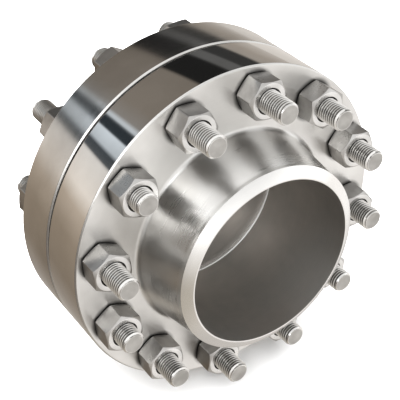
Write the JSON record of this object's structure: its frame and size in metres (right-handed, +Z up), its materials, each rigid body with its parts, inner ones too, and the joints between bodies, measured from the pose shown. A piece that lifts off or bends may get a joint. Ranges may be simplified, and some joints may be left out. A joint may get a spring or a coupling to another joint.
{
  "type": "weld neck pipe flange joint",
  "caption": "Stainless weld neck pipe flange bolted to a solid blind flange, with a thin ring gasket, full thread studs and heavy hex nuts.",
  "frame": {"origin": "centre of the weld neck flange's joint face, on the pipe axis", "axes": "Y is the pipe axis: the neck points to -Y and the blind flange is on +Y; Z is up; X points right when looking along +Y into the bore"},
  "size_m": [0.381, 0.2557, 0.381],
  "materials": {
    "flange": "fine turned",
    "stud": "threaded, satin",
    "nut": "satin",
    "gasket_metal": "bright",
    "winding": "spiral wound strip with filler"
  },
  "bodies": {
    "weld_neck": {"weld_neck_flange": "flange"},
    "blind": {"blind_flange": "flange"},
    "gasket": {"gasket_inner_ring": "gasket_metal", "gasket_winding": "winding", "gasket_centring_ring": "gasket_metal"},
    "front_nut_01": {"front_nut_01": "nut"},
    "stud_01": {"stud_01": "stud"},
    "rear_nut_01": {"rear_nut_01": "nut"},
    "front_nut_02": {"front_nut_02": "nut"},
    "stud_02": {"stud_02": "stud"},
    "rear_nut_02": {"rear_nut_02": "nut"},
    "front_nut_03": {"front_nut_03": "nut"},
    "stud_03": {"stud_03": "stud"},
    "rear_nut_03": {"rear_nut_03": "nut"},
    "front_nut_04": {"front_nut_04": "nut"},
    "stud_04": {"stud_04": "stud"},
    "rear_nut_04": {"rear_nut_04": "nut"},
    "front_nut_05": {"front_nut_05": "nut"},
    "stud_05": {"stud_05": "stud"},
    "rear_nut_05": {"rear_nut_05": "nut"},
    "front_nut_06": {"front_nut_06": "nut"},
    "stud_06": {"stud_06": "stud"},
    "rear_nut_06": {"rear_nut_06": "nut"},
    "front_nut_07": {"front_nut_07": "nut"},
    "stud_07": {"stud_07": "stud"},
    "rear_nut_07": {"rear_nut_07": "nut"},
    "front_nut_08": {"front_nut_08": "nut"},
    "stud_08": {"stud_08": "stud"},
    "rear_nut_08": {"rear_nut_08": "nut"},
    "front_nut_09": {"front_nut_09": "nut"},
    "stud_09": {"stud_09": "stud"},
    "rear_nut_09": {"rear_nut_09": "nut"},
    "front_nut_10": {"front_nut_10": "nut"},
    "stud_10": {"stud_10": "stud"},
    "rear_nut_10": {"rear_nut_10": "nut"},
    "front_nut_11": {"front_nut_11": "nut"},
    "stud_11": {"stud_11": "stud"},
    "rear_nut_11": {"rear_nut_11": "nut"},
    "front_nut_12": {"front_nut_12": "nut"},
    "stud_12": {"stud_12": "stud"},
    "rear_nut_12": {"rear_nut_12": "nut"}
  },
  "joints": [
    {"name": "joint_opening", "type": "slide", "parent": "weld_neck", "child": "blind", "axis": [0, 1, 0], "range_m": [0, 0.01905]},
    {"name": "gasket_release", "type": "slide", "parent": "weld_neck", "child": "gasket", "axis": [0, 1, 0], "range_m": [0, 0.00953]},
    {"name": "front_nut_01_turn", "type": "hinge", "parent": "weld_neck", "child": "front_nut_01", "pos_m": [-0.05881, -0.07085, 0.15084], "axis": [0, -1, 0], "range_deg": [-2508, 3461.6]},
    {"name": "stud_01_feed", "type": "slide", "parent": "weld_neck", "child": "stud_01", "axis": [0, -1, 0], "range_m": [-0.03053, 0.02212]},
    {"name": "rear_nut_01_turn", "type": "hinge", "parent": "blind", "child": "rear_nut_01", "pos_m": [-0.05881, 0.07245, 0.15084], "axis": [0, -1, 0], "range_deg": [-2508, 3461.6]},
    {"name": "front_nut_02_turn", "type": "hinge", "parent": "weld_neck", "child": "front_nut_02", "pos_m": [0.02449, -0.07085, 0.16004], "axis": [0, -1, 0], "range_deg": [-2350.4, 3620.4]},
    {"name": "stud_02_feed", "type": "slide", "parent": "weld_neck", "child": "stud_02", "axis": [0, -1, 0], "range_m": [-0.03193, 0.02073]},
    {"name": "rear_nut_02_turn", "type": "hinge", "parent": "blind", "child": "rear_nut_02", "pos_m": [0.02449, 0.07245, 0.16004], "axis": [0, -1, 0], "range_deg": [-2350.4, 3620.4]},
    {"name": "front_nut_03_turn", "type": "hinge", "parent": "weld_neck", "child": "front_nut_03", "pos_m": [0.10123, -0.07085, 0.12635], "axis": [0, -1, 0], "range_deg": [-2814.2, 3155.5]},
    {"name": "stud_03_feed", "type": "slide", "parent": "weld_neck", "child": "stud_03", "axis": [0, -1, 0], "range_m": [-0.02783, 0.02482]},
    {"name": "rear_nut_03_turn", "type": "hinge", "parent": "blind", "child": "rear_nut_03", "pos_m": [0.10123, 0.07245, 0.12635], "axis": [0, -1, 0], "range_deg": [-2814.2, 3155.5]},
    {"name": "front_nut_04_turn", "type": "hinge", "parent": "weld_neck", "child": "front_nut_04", "pos_m": [0.15084, -0.07085, 0.05881], "axis": [0, -1, 0], "range_deg": [-2814.2, 3155.5]},
    {"name": "stud_04_feed", "type": "slide", "parent": "weld_neck", "child": "stud_04", "axis": [0, -1, 0], "range_m": [-0.02783, 0.02482]},
    {"name": "rear_nut_04_turn", "type": "hinge", "parent": "blind", "child": "rear_nut_04", "pos_m": [0.15084, 0.07245, 0.05881], "axis": [0, -1, 0], "range_deg": [-2814.2, 3155.5]},
    {"name": "front_nut_05_turn", "type": "hinge", "parent": "weld_neck", "child": "front_nut_05", "pos_m": [0.16004, -0.07085, -0.02449], "axis": [0, -1, 0], "range_deg": [-3121.5, 2849.3]},
    {"name": "stud_05_feed", "type": "slide", "parent": "weld_neck", "child": "stud_05", "axis": [0, -1, 0], "range_m": [-0.02513, 0.02753]},
    {"name": "rear_nut_05_turn", "type": "hinge", "parent": "blind", "child": "rear_nut_05", "pos_m": [0.16004, 0.07245, -0.02449], "axis": [0, -1, 0], "range_deg": [-3121.5, 2849.3]},
    {"name": "front_nut_06_turn", "type": "hinge", "parent": "weld_neck", "child": "front_nut_06", "pos_m": [0.12635, -0.07085, -0.10123], "axis": [0, -1, 0], "range_deg": [-3348.2, 2621.4]},
    {"name": "stud_06_feed", "type": "slide", "parent": "weld_neck", "child": "stud_06", "axis": [0, -1, 0], "range_m": [-0.02312, 0.02953]},
    {"name": "rear_nut_06_turn", "type": "hinge", "parent": "blind", "child": "rear_nut_06", "pos_m": [0.12635, 0.07245, -0.10123], "axis": [0, -1, 0], "range_deg": [-3348.2, 2621.4]},
    {"name": "front_nut_07_turn", "type": "hinge", "parent": "weld_neck", "child": "front_nut_07", "pos_m": [0.05881, -0.07085, -0.15084], "axis": [0, -1, 0], "range_deg": [-3348.2, 2621.4]},
    {"name": "stud_07_feed", "type": "slide", "parent": "weld_neck", "child": "stud_07", "axis": [0, -1, 0], "range_m": [-0.02312, 0.02953]},
    {"name": "rear_nut_07_turn", "type": "hinge", "parent": "blind", "child": "rear_nut_07", "pos_m": [0.05881, 0.07245, -0.15084], "axis": [0, -1, 0], "range_deg": [-3348.2, 2621.4]},
    {"name": "front_nut_08_turn", "type": "hinge", "parent": "weld_neck", "child": "front_nut_08", "pos_m": [-0.02449, -0.07085, -0.16004], "axis": [0, -1, 0], "range_deg": [-2814.2, 3155.5]},
    {"name": "stud_08_feed", "type": "slide", "parent": "weld_neck", "child": "stud_08", "axis": [0, -1, 0], "range_m": [-0.02783, 0.02482]},
    {"name": "rear_nut_08_turn", "type": "hinge", "parent": "blind", "child": "rear_nut_08", "pos_m": [-0.02449, 0.07245, -0.16004], "axis": [0, -1, 0], "range_deg": [-2814.2, 3155.5]},
    {"name": "front_nut_09_turn", "type": "hinge", "parent": "weld_neck", "child": "front_nut_09", "pos_m": [-0.10123, -0.07085, -0.12635], "axis": [0, -1, 0], "range_deg": [-2916.2, 3053.4]},
    {"name": "stud_09_feed", "type": "slide", "parent": "weld_neck", "child": "stud_09", "axis": [0, -1, 0], "range_m": [-0.02693, 0.02572]},
    {"name": "rear_nut_09_turn", "type": "hinge", "parent": "blind", "child": "rear_nut_09", "pos_m": [-0.10123, 0.07245, -0.12635], "axis": [0, -1, 0], "range_deg": [-2916.2, 3053.4]},
    {"name": "front_nut_10_turn", "type": "hinge", "parent": "weld_neck", "child": "front_nut_10", "pos_m": [-0.15084, -0.07085, -0.05881], "axis": [0, -1, 0], "range_deg": [-3982.1, 1987.6]},
    {"name": "stud_10_feed", "type": "slide", "parent": "weld_neck", "child": "stud_10", "axis": [0, -1, 0], "range_m": [-0.01753, 0.03512]},
    {"name": "rear_nut_10_turn", "type": "hinge", "parent": "blind", "child": "rear_nut_10", "pos_m": [-0.15084, 0.07245, -0.05881], "axis": [0, -1, 0], "range_deg": [-3982.1, 1987.6]},
    {"name": "front_nut_11_turn", "type": "hinge", "parent": "weld_neck", "child": "front_nut_11", "pos_m": [-0.16004, -0.07085, 0.02449], "axis": [0, -1, 0], "range_deg": [-2508, 3461.6]},
    {"name": "stud_11_feed", "type": "slide", "parent": "weld_neck", "child": "stud_11", "axis": [0, -1, 0], "range_m": [-0.03053, 0.02212]},
    {"name": "rear_nut_11_turn", "type": "hinge", "parent": "blind", "child": "rear_nut_11", "pos_m": [-0.16004, 0.07245, 0.02449], "axis": [0, -1, 0], "range_deg": [-2508, 3461.6]},
    {"name": "front_nut_12_turn", "type": "hinge", "parent": "weld_neck", "child": "front_nut_12", "pos_m": [-0.12635, -0.07085, 0.10123], "axis": [0, -1, 0], "range_deg": [-4346, 1623.6]},
    {"name": "stud_12_feed", "type": "slide", "parent": "weld_neck", "child": "stud_12", "axis": [0, -1, 0], "range_m": [-0.01432, 0.03833]},
    {"name": "rear_nut_12_turn", "type": "hinge", "parent": "blind", "child": "rear_nut_12", "pos_m": [-0.12635, 0.07245, 0.10123], "axis": [0, -1, 0], "range_deg": [-4346, 1623.6]}
  ],
  "couplings": [
    {"joint": "gasket_release", "follows": "joint_opening", "ratio": 0.5},
    {"joint": "stud_01_feed", "follows": "front_nut_01_turn", "m_per_rad": -0.00050532},
    {"joint": "rear_nut_01_turn", "follows": "front_nut_01_turn", "ratio": 1},
    {"joint": "stud_02_feed", "follows": "front_nut_02_turn", "m_per_rad": -0.00050532},
    {"joint": "rear_nut_02_turn", "follows": "front_nut_02_turn", "ratio": 1},
    {"joint": "stud_03_feed", "follows": "front_nut_03_turn", "m_per_rad": -0.00050532},
    {"joint": "rear_nut_03_turn", "follows": "front_nut_03_turn", "ratio": 1},
    {"joint": "stud_04_feed", "follows": "front_nut_04_turn", "m_per_rad": -0.00050532},
    {"joint": "rear_nut_04_turn", "follows": "front_nut_04_turn", "ratio": 1},
    {"joint": "stud_05_feed", "follows": "front_nut_05_turn", "m_per_rad": -0.00050532},
    {"joint": "rear_nut_05_turn", "follows": "front_nut_05_turn", "ratio": 1},
    {"joint": "stud_06_feed", "follows": "front_nut_06_turn", "m_per_rad": -0.00050532},
    {"joint": "rear_nut_06_turn", "follows": "front_nut_06_turn", "ratio": 1},
    {"joint": "stud_07_feed", "follows": "front_nut_07_turn", "m_per_rad": -0.00050532},
    {"joint": "rear_nut_07_turn", "follows": "front_nut_07_turn", "ratio": 1},
    {"joint": "stud_08_feed", "follows": "front_nut_08_turn", "m_per_rad": -0.00050532},
    {"joint": "rear_nut_08_turn", "follows": "front_nut_08_turn", "ratio": 1},
    {"joint": "stud_09_feed", "follows": "front_nut_09_turn", "m_per_rad": -0.00050532},
    {"joint": "rear_nut_09_turn", "follows": "front_nut_09_turn", "ratio": 1},
    {"joint": "stud_10_feed", "follows": "front_nut_10_turn", "m_per_rad": -0.00050532},
    {"joint": "rear_nut_10_turn", "follows": "front_nut_10_turn", "ratio": 1},
    {"joint": "stud_11_feed", "follows": "front_nut_11_turn", "m_per_rad": -0.00050532},
    {"joint": "rear_nut_11_turn", "follows": "front_nut_11_turn", "ratio": 1},
    {"joint": "stud_12_feed", "follows": "front_nut_12_turn", "m_per_rad": -0.00050532},
    {"joint": "rear_nut_12_turn", "follows": "front_nut_12_turn", "ratio": 1}
  ]
}
